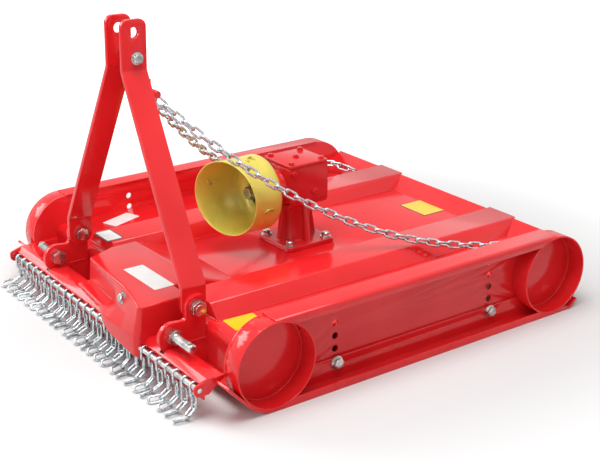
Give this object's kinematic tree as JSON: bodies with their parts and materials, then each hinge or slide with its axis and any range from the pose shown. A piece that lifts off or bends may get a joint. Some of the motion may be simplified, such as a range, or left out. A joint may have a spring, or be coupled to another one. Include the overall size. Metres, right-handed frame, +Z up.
{
  "type": "rotary mower",
  "caption": "Three-point rotary mower: low deck on side skids with ring corners, tilting mast with stay chains, guarded gearbox input, swinging blades and a front chain curtain.",
  "frame": {"origin": "on the ground under the centre of the whole machine's box, standing on its skids", "axes": "+Z up; -Y towards the tractor, the front; +X the machine's left"},
  "size_m": [1.1, 1.194, 0.8032],
  "materials": {
    "red_paint": "gloss",
    "zinc_plated_steel": "bright zinc plate",
    "red_cast_iron": "gloss",
    "yellow_passivated_steel": "yellow zinc",
    "machined_steel": "machined",
    "galvanised_chain": "galvanised"
  },
  "bodies": {
    "deck": {"deck_sheet": "red_paint", "deck_rib_left": "red_paint", "deck_rib_right": "red_paint", "side_web_left": "red_paint", "side_web_right": "red_paint", "rail_left": "red_paint", "rail_right": "red_paint", "corner_ring_front_left": "red_paint", "corner_ring_front_right": "red_paint", "corner_ring_rear_left": "red_paint", "corner_ring_rear_right": "red_paint", "skid_left": "red_paint", "skid_right": "red_paint", "hitch_plate_left": "red_paint", "hitch_plate_right": "red_paint", "nose_cover": "red_paint", "curtain_bracket": "red_paint", "chain_lug_left": "red_paint", "chain_lug_right": "red_paint", "skid_bolts_left": "zinc_plated_steel", "skid_bolts_right": "zinc_plated_steel", "link_pin_left": "zinc_plated_steel", "link_pin_right": "zinc_plated_steel", "mast_pivot_bolt_left": "zinc_plated_steel", "mast_pivot_bolt_right": "zinc_plated_steel", "curtain_rod": "zinc_plated_steel", "gearbox_bolts": "zinc_plated_steel", "gearbox_housing": "red_cast_iron", "gearbox_cover": "red_cast_iron", "pto_guard": "yellow_passivated_steel", "stay_chain_left": "galvanised_chain", "stay_chain_right": "galvanised_chain", "curtain_chains": "galvanised_chain"},
    "mast": {"mast_leg_left": "red_paint", "mast_leg_right": "red_paint", "mast_tie_plate": "red_paint", "mast_ear_bolt": "zinc_plated_steel"},
    "rotor": {"rotor_hub": "red_paint", "blade_carrier": "red_paint", "blade_bolts": "machined_steel"},
    "blade_one": {"blade_1": "machined_steel"},
    "blade_two": {"blade_2": "machined_steel"},
    "drive_shaft": {"pto_shaft": "machined_steel"}
  },
  "joints": [
    {"name": "mast_tilt", "type": "hinge", "parent": "deck", "child": "mast", "pos_m": [0, -0.435, 0.181], "axis": [1, 0, 0], "range_deg": [-12, 2], "deforming": ["stay_chain_left", "stay_chain_right"]},
    {"name": "rotor_spin", "type": "hinge", "parent": "deck", "child": "rotor", "pos_m": [0, 0.063, 0.07], "axis": [0, 0, 1], "continuous": true},
    {"name": "blade_one_swing", "type": "hinge", "parent": "rotor", "child": "blade_one", "pos_m": [0.3, 0.063, 0.06], "axis": [0, 0, 1], "continuous": true},
    {"name": "blade_two_swing", "type": "hinge", "parent": "rotor", "child": "blade_two", "pos_m": [-0.3, 0.063, 0.06], "axis": [0, 0, 1], "continuous": true},
    {"name": "drive_spin", "type": "hinge", "parent": "deck", "child": "drive_shaft", "pos_m": [0, -0.092, 0.3], "axis": [0, 1, 0], "continuous": true}
  ],
  "couplings": [
    {"joint": "drive_spin", "follows": "rotor_spin", "ratio": 0.5181}
  ]
}
